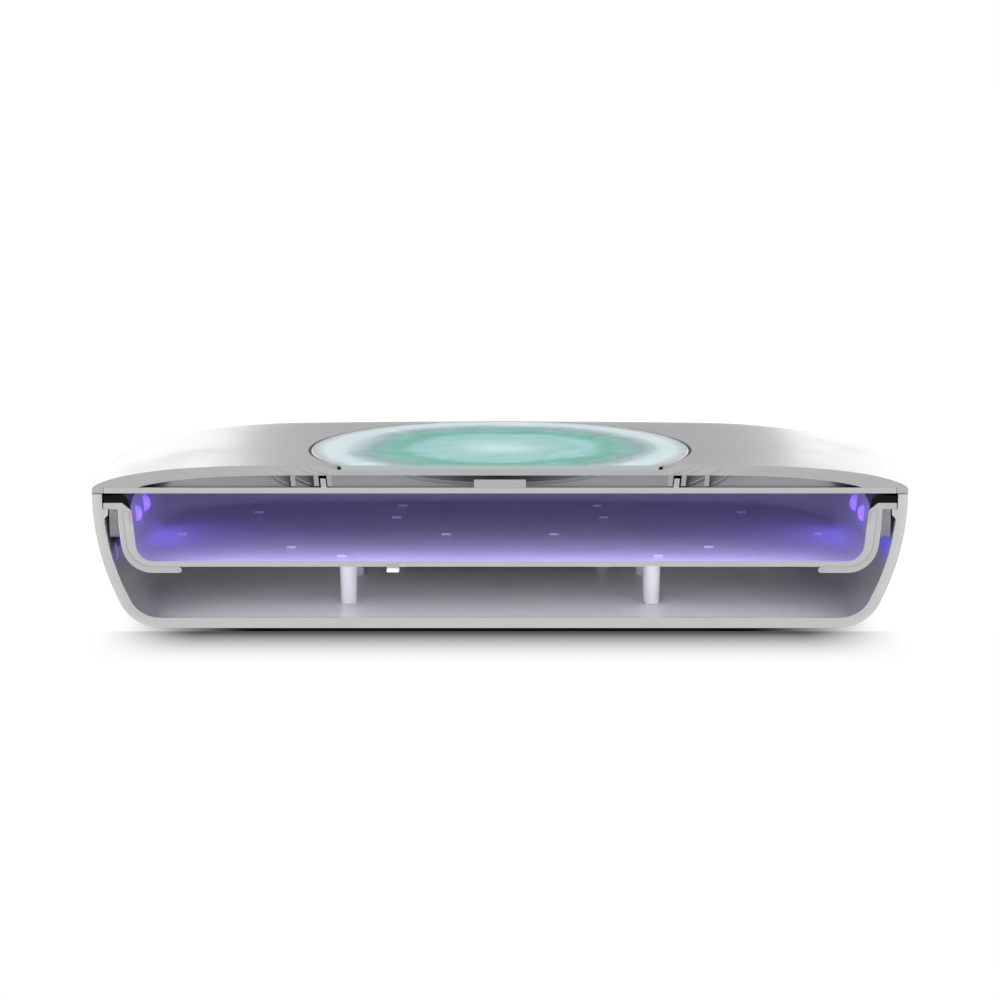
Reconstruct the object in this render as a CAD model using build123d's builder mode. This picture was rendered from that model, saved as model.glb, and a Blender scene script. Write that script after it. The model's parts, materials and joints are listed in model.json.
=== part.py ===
"""Sanitizer box for phones: a two-shell desk box with an ultraviolet chamber inside,
a hinged domed lid with a round charging pad, and one push button in the front wall.

Frame: millimetres, +Z up, the table at Z = 0, the button on the -Y side and the hinge on
the +Y side. The origin is the middle of the whole box, hinge included, on the table. The
pieces are drawn about the middle of the case outline, and finish() moves them to the frame.
"""

from build123d import *
from math import atan2, degrees, hypot, sqrt
import os

os.makedirs("parts", exist_ok=True)

# ---------------------------------------------------------------- plan outline
half_length = 103.0  # along X
half_width = 65.0  # along Y
end_radius = 220.0  # the two short ends
side_radius = 600.0  # the two long sides
corner_radius = 38.0

# ---------------------------------------------------------------- heights, from the table up
foot_height = 0.8
case_bottom = foot_height
wall = 2.45  # case wall and floor
bulge_height = case_bottom + 5.4  # where the wall turns into the floor
bulge_inset = 6.0
flat_inset = 14.5  # the underside is flat inside this inset
floor_inset = 24.0  # the swept wall ends and the flat floor plate begins here
skin_growth, skin_width = 0.3, 20.0  # the trimming band round the case wall
rest_gap = 0.05  # between faces that rest on each other
case_rim = case_bottom + 32.55
parting = case_bottom + 32.75  # underside of the lid
flange_top = case_bottom + 30.4
flange_bottom = case_bottom + 28.9
tray_rim = case_bottom + 28.2
tray_floor = case_bottom + 16.2
tray_under = case_bottom + 14.9
frame_under = case_bottom + 13.4
lid_shoulder = case_bottom + 33.8
panel_top = case_bottom + 34.15
lid_top = case_bottom + 39.5
pad_recess = lid_top - 1.0

# ---------------------------------------------------------------- insets from the outline
flange_inset = 2.75
chamber_inset = 9.4  # mouth of the chamber
tray_wall = 2.0
lip_inset = 20.0  # the frame ends here, under the tray
frame_corner_radii = (0, 0.2, 0.2, 0.2, 0, 0, 5.9, 0.6, 0.6, 7.0, 0)
tray_corner_radii = (0, 0, 4.0, 0, 0, 5.95)
ledge_inset = 3.8
ledge_root_inset, ledge_depth, ledge_edge = 2.2, 3.0, 1.35
ledge_top = flange_bottom - rest_gap
frame_outer_insets = (6.2, 7.15)  # outer face of the frame, at the flange and at the lip
frame_inner_insets = (7.4, 8.35)  # inner face of the frame, which holds the tray
frame_shoulder_inset, frame_chamfer = 7.3, 1.8
tray_outer_insets = (7.45, 8.4)
tray_inner_inset = 10.35  # foot of the chamber's wall
tray_floor_inset = 23.0
panel_inset = 2.95

# The lid is a pillow: its outline shrinks from the first pair of insets (along X, along Y)
# to the second while it rises, fast at the shoulder and slowly towards the flat middle.
dome_insets = ((0.0, 0.0), (47.0, 25.0))
cavity_insets = ((11.4, 9.5), (50.0, 27.0))
cavity_top = case_bottom + 37.1
dome_steps = 20
dome_fall = 2.6  # larger leaves a wider flat middle
dome_sharpness = 0.62  # smaller makes a steeper shoulder
cavity_sharpness = 0.8

# ---------------------------------------------------------------- light seal, as inset and height
seal_points = (
    (3.1, flange_top + rest_gap),
    (2.6, case_bottom + 32.1),
    (7.6, case_bottom + 32.45),
    (8.6, case_bottom + 31.7),
    (9.35, case_bottom + 28.85),
    (7.35, flange_top + rest_gap),
)

# ---------------------------------------------------------------- charging pad in the lid
pad_radius = 48.6
pad_gap = 0.02  # under the pad
pad_edge_radius = 0.35
groove_radius = 49.4
gasket_height = 0.6  # of the dark ring in the groove round the pad
socket_radii = (50.8, 53.5)  # inner faces of the two snap rings
ring_wall = 1.0
tongue_radius = 52.05
tongue_wall = 1.1
stiffener_radius = 58.4
tongue_height = 2.2
snap_half_span = 40.0  # the snap rings are left out beyond this Y
rib_gap = 0.4  # between the snap rings and the panel
carrier_radius, carrier_height = 27.0, 2.7
carrier_floor, carrier_rim = 0.5, 1.0
ferrite_radius, ferrite_height = 24.5, 0.6
coil_radii, coil_height = (10.0, 22.0), 1.1
ferrite_z = panel_top + 0.6
coil_z = panel_top + 1.25

# ---------------------------------------------------------------- small parts in the lid
lid_screw_x, lid_screw_y = 84.0, 40.0
lid_boss_radius = 2.8
magnet_x = 40.0
lid_magnet_size, lid_magnet_inset = (8.0, 2.6, 1.15), 4.7
base_magnet_size, base_magnet_inset = (8.0, 1.7, 3.0), 5.1
sensor_x = 22.0
sensor_board_size, sensor_board_inset = (7.0, 0.8, 5.0), 4.6
sensor_chip_size, sensor_chip_inset = (3.0, 0.6, 1.6), 3.9
lid_board_size, lid_board_y = (34.0, 13.0, 0.8), 38.0
lid_board_z = panel_top + 0.5
lid_chip_size, lid_chip_places = (5.0, 5.0, 0.6), ((-8, 36), (6, 36))
lid_leg_x, lid_leg_radius = 12.0, 1.5
spacer_size, spacer_y = (12.8, 8.0, 1.9), -32.0

# ---------------------------------------------------------------- ultraviolet lamps
lamp_y = 7.5
lamp_z = case_bottom + 23.7
window_width, window_height = 5.0, 4.6
lamp_size, lamp_depth = 3.5, 1.1
lamp_inset, window_inset, window_depth = 5.75, 9.0, 0.8
window_gap = 0.1
carrier_half = 24.0  # half length of the lamp carrier along Y
carrier_bottom, carrier_top = case_bottom + 20.6, flange_bottom - 0.1
carrier_insets = (4.0, 6.05, 6.6)  # outer face, inner face at the top, inner face at the bottom
lamp_board_size, lamp_board_inset = (0.8, 22.0, 6.0), 4.8

# ---------------------------------------------------------------- lower compartment
post_x, post_y = 38.4, 17.6
post_foot = case_bottom + wall + rest_gap
post_radii = (2.05, 2.3)  # at the foot and at the tray
post_root = 0.5  # how far a post reaches into the tray
post_hole_radius, post_hole_depth = 1.05, 8.0
shelf_x, shelf_size = 4.0, (3.6, 3.0, 1.2)
key_place, key_size = (-26.5, -31.0), (3.0, 4.0, 1.4)
nub_size = (2.4, 1.0, 0.5)
nub_places = [(39.5, -26.5), (53, -15), (83, 2.5), (28, 26), (27, 44), (66, 34), (66, -40), (14, 2)]
main_board_size = (64.0, 28.0, 1.6)
main_board_y = 40.0
main_board_z = case_bottom + 4.6
main_screw_x, main_screw_y = 28.0, 10.0  # from the middle of the board
main_board_corner, button_board_corner = 1.5, 1.0
button_board_size = (32.0, 11.0, 1.6)
button_board_y = -50.0
button_board_z = case_bottom + 6.3
button_screw_x, button_screw_y = 12.5, 2.0
foot_x, foot_y, foot_radius = 58.0, 42.5, 4.5
foot_recess, foot_chamfer = 0.7, 0.3
board_gap = 0.02  # under whatever stands on a board

# ---------------------------------------------------------------- screws: shaft, length, head, height
case_screw_size = (0.95, 7.0, 2.3, 1.1)
board_screw_size = (0.8, 4.4, 1.8, 1.0)
recess_width = 0.5
case_seat_radius, case_seat_depth, case_hole_radius = 2.6, 1.3, 1.2
boss_root = case_bottom + 1.0
boss_radius, boss_hole_radius, boss_hole_depth = 2.2, 0.85, 3.2
board_hole_radius = 1.15
lid_screw_radius, lid_screw_length = 0.8, 3.4
lid_head_radius, lid_head_height = 2.0, 1.2
lid_hole_radius, lid_hole_depth = 0.85, 2.2
lid_sink_radius, lid_sink_depth, lid_clearance_radius = 2.1, 1.0, 1.1
lid_recess_depth = 0.9

# ---------------------------------------------------------------- flat cables
ribbon_width, ribbon_thickness = 3.0, 0.4
ribbon_z = case_bottom + 18.2
led_ribbon_inset, led_ribbon_end = 6.1, 27.0
button_ribbon_inset, button_ribbon_end, button_ribbon_start = 5.5, 20.0, 13.0
ribbon_drop, ribbon_run, ribbon_bend, ribbon_lift = 4.5, (6.5, 14.0), 1.2, 3.7

# ---------------------------------------------------------------- button and status light
button_z = case_bottom + 10.4
button_width, button_height = 13.0, 5.0
button_gap = 0.25
button_depth = 9.0
button_pocket, button_pocket_inset = (18.0, 12.0, 7.4), 6.8  # where the wall is flat behind it
flange_back = half_width - 8.1
flange_size, flange_corner, flange_thickness = (16.6, 6.2), 1.5, 1.0
plunger_radius, plunger_gap, plunger_reach = 1.15, 0.02, 1.6
switch_size, switch_front = (6.4, 3.8, 4.2), -55.2
switch_bore_radius, switch_bore_depth = 1.35, 2.6
light_x = 13.0
light_radius = 1.2
status_led_size, status_led_y = (2.6, 2.0, 3.4), -52.6
light_pipe_y, light_pipe_depth, light_pipe_stem = 53.8, 9.0, 3.0
opening_start, opening_depth = half_width - 12.0, 14.0  # the cut through the front wall

# ---------------------------------------------------------------- charging inlet
port_z = main_board_z + 1.6 + 1.65
port_width, port_height, port_depth = 8.94, 3.2, 7.3
port_face_y = 59.0
port_corner, port_wall, port_back, port_gap = 1.5, 0.3, 1.2, 0.25
tongue_size, port_overlap = (6.7, 0.7), 0.2
inlet_start, inlet_depth = half_width - 14.0, 16.0  # the cut through the rear wall

# ---------------------------------------------------------------- hinge
hinge_y = 67.3
hinge_z = parting
hinge_x = 34.0
barrel_radius = 1.9
pin_radius = 0.8
pin_gap = 0.06
lid_knuckle = 10.0
case_knuckle = 5.0
knuckle_gap = 0.3
arm_depth, arm_lift = 5.2, 0.15
hinge_overhang = hinge_y + barrel_radius - half_width


post_places = [(sx * post_x, sy * post_y) for sx in (-1, 1) for sy in (-1, 1)]
on_base = (Align.CENTER, Align.CENTER, Align.MIN)
hanging = (Align.CENTER, Align.CENTER, Align.MAX)


def arc_centres(inset_x, inset_y):
    """Centres and angles of the arcs of the plan outline, drawn in by the two insets."""
    end_c = half_length - end_radius
    side_c = half_width - side_radius
    # The corner centre is at end_r - corner_r from one centre, side_r - corner_r from the other.
    reach_end = end_radius - inset_x - corner_radius + inset_y
    reach_side = side_radius - corner_radius
    apart = hypot(end_c, side_c)
    along = (reach_end**2 - reach_side**2 + apart**2) / (2 * apart)
    across = sqrt(reach_end**2 - along**2)
    corner_x = end_c - (along * end_c + across * side_c) / apart
    corner_y = (along * side_c - across * end_c) / apart
    end_angle = degrees(atan2(corner_y, corner_x - end_c))
    side_angle = degrees(atan2(corner_x, corner_y - side_c))
    return end_c, side_c, corner_x, corner_y, end_angle, side_angle


def outline(inset_x=0.0, inset_y=None):
    """Draw the closed plan outline, eight tangent arcs, into the open BuildLine."""
    inset_y = inset_x if inset_y is None else inset_y
    end_c, side_c, corner_x, corner_y, end_angle, side_angle = arc_centres(inset_x, inset_y)
    end_r, side_r = end_radius - inset_x, side_radius - inset_y
    corner_r = corner_radius - inset_y
    turn = 90 - end_angle - side_angle
    CenterArc((end_c, 0), end_r, -end_angle, 2 * end_angle)
    CenterArc((corner_x, corner_y), corner_r, end_angle, turn)
    CenterArc((0, side_c), side_r, 90 - side_angle, 2 * side_angle)
    CenterArc((-corner_x, corner_y), corner_r, 90 + side_angle, turn)
    CenterArc((-end_c, 0), end_r, 180 - end_angle, 2 * end_angle)
    CenterArc((-corner_x, -corner_y), corner_r, 180 + end_angle, turn)
    CenterArc((0, -side_c), side_r, 270 - side_angle, 2 * side_angle)
    CenterArc((corner_x, -corner_y), corner_r, 270 + side_angle, turn)


def side_y(x):
    """Y of the long side of the outline at X = x."""
    return half_width - side_radius + sqrt(side_radius**2 - x**2)


def finish(part, label):
    """Move a finished piece from the plan's centre to the frame, label it and write it."""
    placed = part.moved(Location((0, -hinge_overhang / 2, 0)))
    placed.label = label
    export_step(placed, f"parts/{label}.step")


with BuildLine() as plan:
    outline()
rim_path = plan.wire()


# ================================================================ base
with BuildPart() as outer_skin:
    # A thick band with the outer shape of the case wall, grown a little, used to trim
    # whatever ends flush with the wall.
    with BuildSketch(Plane.XZ):
        with BuildLine():
            skin_side = TangentArc(
                (half_length + skin_growth, case_rim),
                (half_length + skin_growth - bulge_inset, bulge_height),
                tangent=(0, -1),
            )
            Polyline(
                skin_side @ 1,
                (half_length - skin_width, bulge_height),
                (half_length - skin_width, case_rim),
                skin_side @ 0,
            )
        make_face()
    sweep(path=rim_path)

with BuildPart() as bottom_case:
    with BuildSketch(Plane.XZ):
        with BuildLine():
            side = TangentArc(
                (half_length, case_rim), (half_length - bulge_inset, bulge_height), tangent=(0, -1)
            )
            turn_in = TangentArc(side @ 1, (half_length - flat_inset, case_bottom), tangent=side % 1)
            Line(turn_in @ 1, (half_length - floor_inset, case_bottom))
            offset(amount=wall, side=Side.RIGHT)
        make_face()
    sweep(path=rim_path)
    # Floor.
    with BuildSketch(Plane.XY.offset(case_bottom)):
        with BuildLine():
            outline(floor_inset - 1)
        make_face()
    extrude(amount=wall)
    # Ledge that carries the flange of the frame.
    with BuildSketch(Plane.XZ):
        with BuildLine():
            Polyline(
                (half_length - ledge_root_inset, ledge_top - ledge_depth),
                (half_length - ledge_inset, ledge_top - ledge_edge),
                (half_length - ledge_inset, ledge_top),
                (half_length - ledge_root_inset, ledge_top),
                close=True,
            )
        make_face()
    sweep(path=rim_path)
    # Bosses under the main board and under the button board.
    with Locations((0, main_board_y, boss_root)):
        with GridLocations(2 * main_screw_x, 2 * main_screw_y, 2, 2):
            Cylinder(boss_radius, main_board_z - boss_root, align=on_base)
    with Locations((0, button_board_y, boss_root)):
        with Locations((-button_screw_x, button_screw_y), (button_screw_x, button_screw_y)):
            Cylinder(boss_radius, button_board_z - boss_root, align=on_base)
    # Screw holes: blind ones in the board bosses, counterbored ones under the tray's posts.
    with Locations((0, main_board_y, main_board_z)):
        with GridLocations(2 * main_screw_x, 2 * main_screw_y, 2, 2):
            Hole(boss_hole_radius, depth=boss_hole_depth)
    with Locations((0, button_board_y, button_board_z)):
        with Locations((-button_screw_x, button_screw_y), (button_screw_x, button_screw_y)):
            Hole(boss_hole_radius, depth=boss_hole_depth)
    with Locations(*[(x, y, case_bottom) for x, y in post_places]):
        Cylinder(case_seat_radius, case_seat_depth, align=on_base, mode=Mode.SUBTRACT)
        Cylinder(case_hole_radius, 2 * wall, align=on_base, mode=Mode.SUBTRACT)
    # Recesses for the rubber feet.
    with Locations((0, 0, case_bottom)):
        with GridLocations(2 * foot_x, 2 * foot_y, 2, 2):
            Cylinder(foot_radius + rest_gap, foot_recess, align=on_base, mode=Mode.SUBTRACT)
    # Button opening, with the wall flattened behind it for the button's flange.
    with Locations((0, -(half_width - button_pocket_inset), button_z)):
        Box(*button_pocket, align=(Align.CENTER, Align.MIN, Align.CENTER), mode=Mode.SUBTRACT)
    with BuildSketch(Plane.XZ.offset(opening_start)):
        with Locations((0, button_z)):
            SlotOverall(button_width + 2 * button_gap, button_height + 2 * button_gap)
        with Locations((light_x, button_z)):
            Circle(light_radius)
    extrude(amount=opening_depth, mode=Mode.SUBTRACT)
    # Opening for the charging inlet in the rear wall.
    with BuildSketch(Plane.XZ.offset(-inlet_start)):
        with Locations((0, port_z)):
            RectangleRounded(
                port_width + 2 * port_gap, port_height + 2 * port_gap, port_corner + port_gap
            )
    extrude(amount=-inlet_depth, mode=Mode.SUBTRACT)
    # Hinge arms and knuckles.
    for x in (-hinge_x, hinge_x):
        for side_sign in (-1, 1):
            x_mid = x + side_sign * (lid_knuckle / 2 + knuckle_gap + case_knuckle / 2)
            with Locations((x_mid, hinge_y, hinge_z)):
                Cylinder(barrel_radius, case_knuckle, rotation=(0, 90, 0))
                Box(case_knuckle, arm_depth, barrel_radius, align=(Align.CENTER, Align.MAX, Align.MAX))
                Cylinder(pin_radius, case_knuckle, rotation=(0, 90, 0), mode=Mode.SUBTRACT)
finish(bottom_case.part, "bottom_case")

with BuildPart() as mid_frame:
    with BuildSketch(Plane.XZ):
        with BuildLine():
            FilletPolyline(
                (half_length - flange_inset, flange_bottom),
                (half_length - flange_inset, flange_top),
                (half_length - frame_shoulder_inset, flange_top),
                (half_length - chamber_inset, flange_top - frame_chamfer),
                (half_length - chamber_inset, tray_rim + rest_gap),
                (half_length - frame_inner_insets[0], tray_rim + rest_gap),
                (half_length - frame_inner_insets[1], tray_under - rest_gap),
                (half_length - lip_inset, tray_under - rest_gap),
                (half_length - lip_inset, frame_under),
                (half_length - frame_outer_insets[1], frame_under),
                (half_length - frame_outer_insets[0], flange_bottom),
                radius=frame_corner_radii,
                close=True,
            )
        make_face()
    sweep(path=rim_path)
    with Locations(*[(0, y, lamp_z) for y in (-lamp_y, lamp_y)]):
        Box(2 * half_length, window_width, window_height, mode=Mode.SUBTRACT)
finish(mid_frame.part, "mid_frame")

with BuildPart() as chamber_tray:
    with BuildSketch(Plane.XZ):
        with BuildLine():
            FilletPolyline(
                (half_length - tray_outer_insets[0], tray_rim),
                (half_length - tray_outer_insets[0] - tray_wall, tray_rim),
                (half_length - tray_inner_inset, tray_floor),
                (half_length - tray_floor_inset, tray_floor),
                (half_length - tray_floor_inset, tray_under),
                (half_length - tray_outer_insets[1], tray_under),
                radius=tray_corner_radii,
                close=True,
            )
        make_face()
    sweep(path=rim_path)
    with BuildSketch(Plane.XY.offset(tray_under)):
        with BuildLine():
            outline(tray_floor_inset - 1)
        make_face()
    extrude(amount=tray_floor - tray_under)
    # Low nubs that hold a phone off the floor.
    with Locations((0, 0, tray_floor)):
        with Locations(*[(sx * x, y) for sx in (-1, 1) for x, y in nub_places]):
            Box(*nub_size, align=on_base)
    # Tapered posts down to the case floor, each with a small shelf beside it.
    for x, y in post_places:
        with Locations((x, y, tray_under + post_root)):
            Cone(*post_radii, tray_under + post_root - post_foot, align=hanging)
        with Locations((x, y, post_foot)):
            Cylinder(post_hole_radius, post_hole_depth, align=on_base, mode=Mode.SUBTRACT)
        with Locations((x + (shelf_x if x > 0 else -shelf_x), y, tray_under)):
            Box(*shelf_size, align=hanging)
    # Key that the frame's assembly tool grips.
    with Locations((*key_place, tray_under)):
        Box(*key_size, align=hanging)
    # Lamp windows.
    with Locations(*[(0, y, lamp_z) for y in (-lamp_y, lamp_y)]):
        Box(2 * half_length, window_width, window_height, mode=Mode.SUBTRACT)
finish(chamber_tray.part, "chamber_tray")

with BuildPart() as light_seal:
    with BuildSketch(Plane.XZ):
        with BuildLine():
            Polyline(*[(half_length - inset, z) for inset, z in seal_points], close=True)
        make_face()
    sweep(path=rim_path)
finish(light_seal.part, "light_seal")


def lamp_parts(side_sign):
    """Carrier and board of the lamps at one end of the chamber (+1 right, -1 left)."""
    end_centre = half_length - end_radius
    board_depth, board_width, board_height = lamp_board_size
    with BuildPart() as carrier:
        with BuildSketch(Plane.XZ):
            with BuildLine():
                Polyline(
                    (half_length - carrier_insets[0], carrier_top),
                    (half_length - carrier_insets[1], carrier_top),
                    (half_length - carrier_insets[2], carrier_bottom),
                    (half_length - carrier_insets[0], carrier_bottom),
                    close=True,
                )
            make_face()
        revolve(
            axis=Axis((end_centre, 0, 0), (0, 0, 1)),
            revolution_arc=degrees(carrier_half / end_radius),
        )
        mirror(about=Plane.XZ)
        # Pocket for the board behind, and one hole for each lamp.
        with Locations((half_length - lamp_board_inset - board_depth / 2 - window_gap, 0, lamp_z)):
            Box(
                lamp_board_inset,
                board_width + 2 * button_gap,
                board_height + 2 * button_gap,
                align=(Align.MIN, Align.CENTER, Align.CENTER),
                mode=Mode.SUBTRACT,
            )
        with Locations(*[(half_length - lamp_inset, y, lamp_z) for y in (-lamp_y, lamp_y)]):
            Box(
                2 * lamp_size,
                lamp_size + 2 * button_gap,
                lamp_size + 2 * button_gap,
                mode=Mode.SUBTRACT,
            )
        if side_sign < 0:
            mirror(about=Plane.YZ, mode=Mode.REPLACE)
    with BuildPart() as board:
        with Locations((side_sign * (half_length - lamp_board_inset), 0, lamp_z)):
            Box(*lamp_board_size)
    return carrier.part, board.part


for side_sign, side_name in ((-1, "left"), (1, "right")):
    carrier_part, board_part = lamp_parts(side_sign)
    finish(carrier_part, f"led_carrier_{side_name}")
    finish(board_part, f"uv_led_board_{side_name}")

lamp_places = [(sx, sy * lamp_y) for sx in (-1, 1) for sy in (-1, 1)]
with BuildPart() as uv_leds:
    with Locations(*[(sx * (half_length - lamp_inset), y, lamp_z) for sx, y in lamp_places]):
        Box(lamp_depth, lamp_size, lamp_size)
finish(uv_leds.part, "uv_leds")

with BuildPart() as uv_windows:
    with Locations(*[(sx * (half_length - window_inset), y, lamp_z) for sx, y in lamp_places]):
        Box(window_depth, window_width - window_gap, window_height - window_gap)
finish(uv_windows.part, "uv_windows")


# Flat cables in the gap between case and frame, with their ends bent down onto the boards.
def ribbon(inset, rear_x, front_x=None):
    """A flat cable on edge round the right end: from the middle of the end wall, or from
    front_x on the front side, to rear_x on the rear side, where it bends down inwards."""
    end_c, side_c, corner_x, corner_y, end_angle, side_angle = arc_centres(inset, inset)
    end_r, corner_r, side_r = end_radius - inset, corner_radius - inset, side_radius - inset
    turn = 90 - end_angle - side_angle
    rear_angle = degrees(rear_x / side_r)
    with BuildLine() as line:
        if front_x is None:
            CenterArc((end_c, 0), end_r, 0, end_angle)
        else:
            front_angle = degrees(front_x / side_r)
            CenterArc((0, -side_c), side_r, front_angle - 90, side_angle - front_angle)
            CenterArc((corner_x, -corner_y), corner_r, side_angle - 90, turn)
            CenterArc((end_c, 0), end_r, -end_angle, 2 * end_angle)
        CenterArc((corner_x, corner_y), corner_r, end_angle, turn)
        CenterArc((0, side_c), side_r, 90 - side_angle, side_angle - rear_angle)
    path = line.wire()
    ends = [(path @ 1, 1)] if front_x is None else [(path @ 1, 1), (path @ 0, -1)]
    with BuildPart(mode=Mode.PRIVATE) as body:
        start = path @ 0 + Vector(0, 0, ribbon_z)
        with BuildSketch(Plane(start, x_dir=(0, 0, 1), z_dir=path % 0)):
            Rectangle(ribbon_width, ribbon_thickness)
        sweep(path=path.moved(Location((0, 0, ribbon_z))))
        for end, y_sign in ends:
            with BuildSketch(Plane.YZ.offset(end.X - ribbon_width / 2 + window_gap)):
                with BuildLine():
                    FilletPolyline(
                        (end.Y - y_sign * ribbon_thickness / 2, ribbon_z + ribbon_width / 2),
                        (end.Y - y_sign * ribbon_thickness / 2, ribbon_z - ribbon_drop),
                        (end.Y - y_sign * ribbon_run[0], board_top + ribbon_lift),
                        (end.Y - y_sign * ribbon_run[1], board_top + ribbon_lift),
                        radius=ribbon_bend,
                    )
                    offset(amount=ribbon_thickness, side=Side.LEFT if y_sign > 0 else Side.RIGHT)
                make_face()
            extrude(amount=ribbon_width)
    return body.part


board_top = main_board_z + main_board_size[2]
led_ribbon = ribbon(led_ribbon_inset, led_ribbon_end)
finish(led_ribbon, "led_ribbon_right")
finish(led_ribbon.mirror(Plane.YZ), "led_ribbon_left")
button_ribbon = ribbon(button_ribbon_inset, button_ribbon_end, front_x=button_ribbon_start)
finish(button_ribbon.mirror(Plane.YZ), "button_ribbon")

with BuildPart() as main_board:
    with BuildSketch(Plane.XY.offset(main_board_z)):
        with Locations((0, main_board_y)):
            RectangleRounded(main_board_size[0], main_board_size[1], main_board_corner)
            with GridLocations(2 * main_screw_x, 2 * main_screw_y, 2, 2):
                Circle(board_hole_radius, mode=Mode.SUBTRACT)
    extrude(amount=main_board_size[2])
finish(main_board.part, "main_board")

# Chips, coil, capacitors and plugs on the main board: X, Y, length, width, height.
block_parts = [
    (-8, 38, 7, 7, 1.0),
    (8, 34, 5, 5, 1.0),
    (-18, 34, 4, 3, 1.2),
    (-27, 42, 6, 4, 3.2),
    (27, 42, 6, 4, 3.2),
    (-20, 45, 5, 4, 3.2),
    (15, 44, 3.2, 1.6, 0.9),
    (-14, 44, 3.2, 1.6, 0.9),
    (0, 29, 10, 4.2, 3.4),
]
round_parts = [(18, 34, 2.5, 4.2), (-11, 48, 2.0, 4.6), (11, 48, 2.0, 4.6)]
with BuildPart() as board_components:
    for x, y, length, width, height in block_parts:
        with Locations((x, y, board_top + board_gap)):
            Box(length, width, height, align=on_base)
    for x, y, radius, height in round_parts:
        with Locations((x, y, board_top + board_gap)):
            Cylinder(radius, height, align=on_base)
finish(board_components.part, "board_components")

with BuildPart() as charging_inlet:
    with BuildSketch(Plane.XZ.offset(-port_face_y)):
        with Locations((0, port_z)):
            RectangleRounded(port_width, port_height, port_corner)
            RectangleRounded(
                port_width - 2 * port_wall,
                port_height - 2 * port_wall,
                port_corner - port_wall,
                mode=Mode.SUBTRACT,
            )
    extrude(amount=port_depth)
    # Closed back with the contact tongue standing on it.
    with BuildSketch(Plane.XZ.offset(-(port_face_y - port_depth + port_back))):
        with Locations((0, port_z)):
            RectangleRounded(port_width, port_height, port_corner)
    extrude(amount=port_back)
    with Locations((0, port_face_y - port_depth + port_back - port_overlap, port_z)):
        Box(
            tongue_size[0],
            port_depth - port_back - 3 * port_overlap,
            tongue_size[1],
            align=(Align.CENTER, Align.MIN, Align.CENTER),
        )
finish(charging_inlet.part, "charging_inlet")

with BuildPart() as button_board:
    with BuildSketch(Plane.XY.offset(button_board_z)):
        with Locations((0, button_board_y)):
            RectangleRounded(button_board_size[0], button_board_size[1], button_board_corner)
            with Locations((-button_screw_x, button_screw_y), (button_screw_x, button_screw_y)):
                Circle(board_hole_radius, mode=Mode.SUBTRACT)
    extrude(amount=button_board_size[2])
finish(button_board.part, "button_board")

button_board_top = button_board_z + button_board_size[2]
with BuildPart() as button_switch:
    with Locations((0, switch_front, button_board_top + board_gap)):
        Box(*switch_size, align=(Align.CENTER, Align.MIN, Align.MIN))
    with BuildSketch(Plane.XZ.offset(-switch_front)):
        with Locations((0, button_z)):
            Circle(switch_bore_radius)
    extrude(amount=-switch_bore_depth, mode=Mode.SUBTRACT)
finish(button_switch.part, "button_switch")

with BuildPart() as status_led:
    with Locations((light_x, status_led_y, button_board_top + board_gap)):
        Box(*status_led_size, align=on_base)
finish(status_led.part, "status_led")

with BuildPart() as status_light_pipe:
    with BuildSketch(Plane.XZ.offset(light_pipe_y)):
        with Locations((light_x, button_z)):
            Circle(light_radius - rest_gap)
    extrude(amount=light_pipe_depth)
    add(outer_skin.part, mode=Mode.INTERSECT)
    with BuildSketch(Plane.XZ.offset(light_pipe_y)):
        with Locations((light_x, button_z)):
            Circle(light_radius - rest_gap)
    extrude(amount=light_pipe_stem)
finish(status_light_pipe.part, "status_light_pipe")

with BuildPart() as rubber_feet:
    with GridLocations(2 * foot_x, 2 * foot_y, 2, 2):
        Cylinder(foot_radius, foot_height + foot_recess - rest_gap, align=on_base)
    chamfer(rubber_feet.faces().group_by(Axis.Z)[0].edges(), foot_chamfer)
finish(rubber_feet.part, "rubber_feet")


def pan_screw(shaft_radius, shaft_length, head_radius, head_height):
    """A screw pointing down, its seat under the head at Z = 0, with a crossed recess."""
    with BuildPart(mode=Mode.PRIVATE) as screw:
        Cylinder(shaft_radius, shaft_length, align=hanging)
        Cylinder(head_radius, head_height, align=on_base)
        fillet(screw.edges().sort_by(Axis.Z)[-1], 0.4 * head_height)
        with Locations((0, 0, head_height)):
            Box(1.1 * head_radius, recess_width, head_height, mode=Mode.SUBTRACT)
            Box(recess_width, 1.1 * head_radius, head_height, mode=Mode.SUBTRACT)
    return screw.part


case_screw = Rot(180, 0, 0) * pan_screw(*case_screw_size)
with BuildPart() as case_screws:
    with Locations(*[(x, y, case_bottom + case_seat_depth) for x, y in post_places]):
        add(case_screw)
finish(case_screws.part, "case_screws")

board_screw = pan_screw(*board_screw_size)
with BuildPart() as board_screws:
    with Locations((0, main_board_y, board_top + board_gap)):
        with GridLocations(2 * main_screw_x, 2 * main_screw_y, 2, 2):
            add(board_screw)
    with Locations((0, button_board_y, button_board_top + board_gap)):
        with Locations((-button_screw_x, button_screw_y), (button_screw_x, button_screw_y)):
            add(board_screw)
finish(board_screws.part, "board_screws")

pin_length = lid_knuckle + 2 * (knuckle_gap + case_knuckle)
with BuildPart() as hinge_pins:
    with Locations((-hinge_x, hinge_y, hinge_z), (hinge_x, hinge_y, hinge_z)):
        Cylinder(pin_radius, pin_length, rotation=(0, 90, 0))
finish(hinge_pins.part, "hinge_pins")

base_magnet_y = -(side_y(magnet_x) - base_magnet_inset)
with BuildPart() as base_magnets:
    with Locations(*[(x, base_magnet_y, flange_bottom - 3.4) for x in (-magnet_x, magnet_x)]):
        Box(*base_magnet_size)
finish(base_magnets.part, "base_magnets")

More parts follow.
